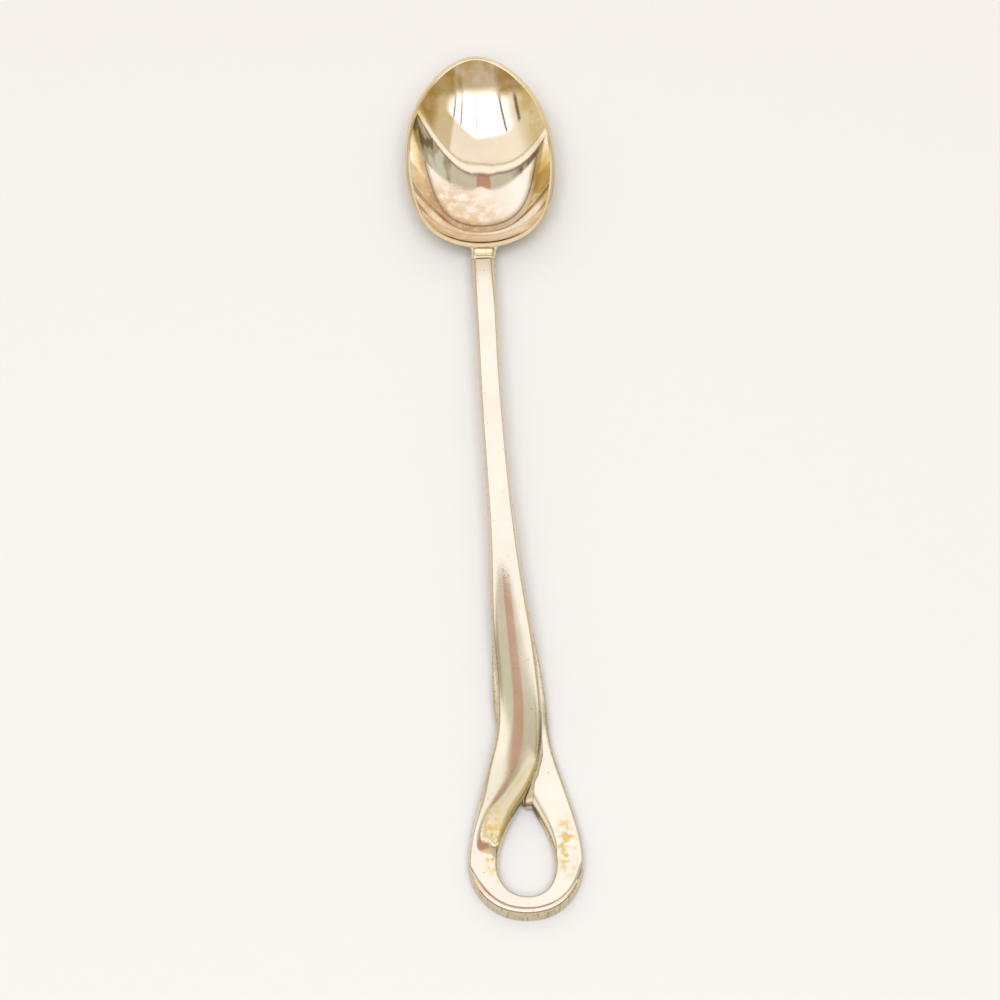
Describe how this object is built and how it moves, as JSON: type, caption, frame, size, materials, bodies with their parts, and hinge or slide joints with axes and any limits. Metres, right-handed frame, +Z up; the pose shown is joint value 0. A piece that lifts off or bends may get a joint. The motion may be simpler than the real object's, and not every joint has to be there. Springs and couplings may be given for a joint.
{
  "type": "bar spoon",
  "caption": "Long-handled spoon with an egg-shaped bowl, a slim arched shank and an open teardrop eye at the end for hanging or lifting.",
  "frame": {"origin": "on the table, within 1 mm of the point under the centre of the spoon's box, as it lies with the bowl's hollow up", "axes": "+Y along the spoon towards the tip of the bowl, +Z up out of the bowl, +X to the right seen from the eye"},
  "size_m": [0.03, 0.1904, 0.012],
  "materials": {
    "silver": "polished, lightly tarnished",
    "solder": "polished flush"
  },
  "bodies": {
    "root": {"bowl": "silver", "handle_bar": "silver", "neck_solder": "solder", "eye_solder": "solder"}
  },
  "joints": []
}
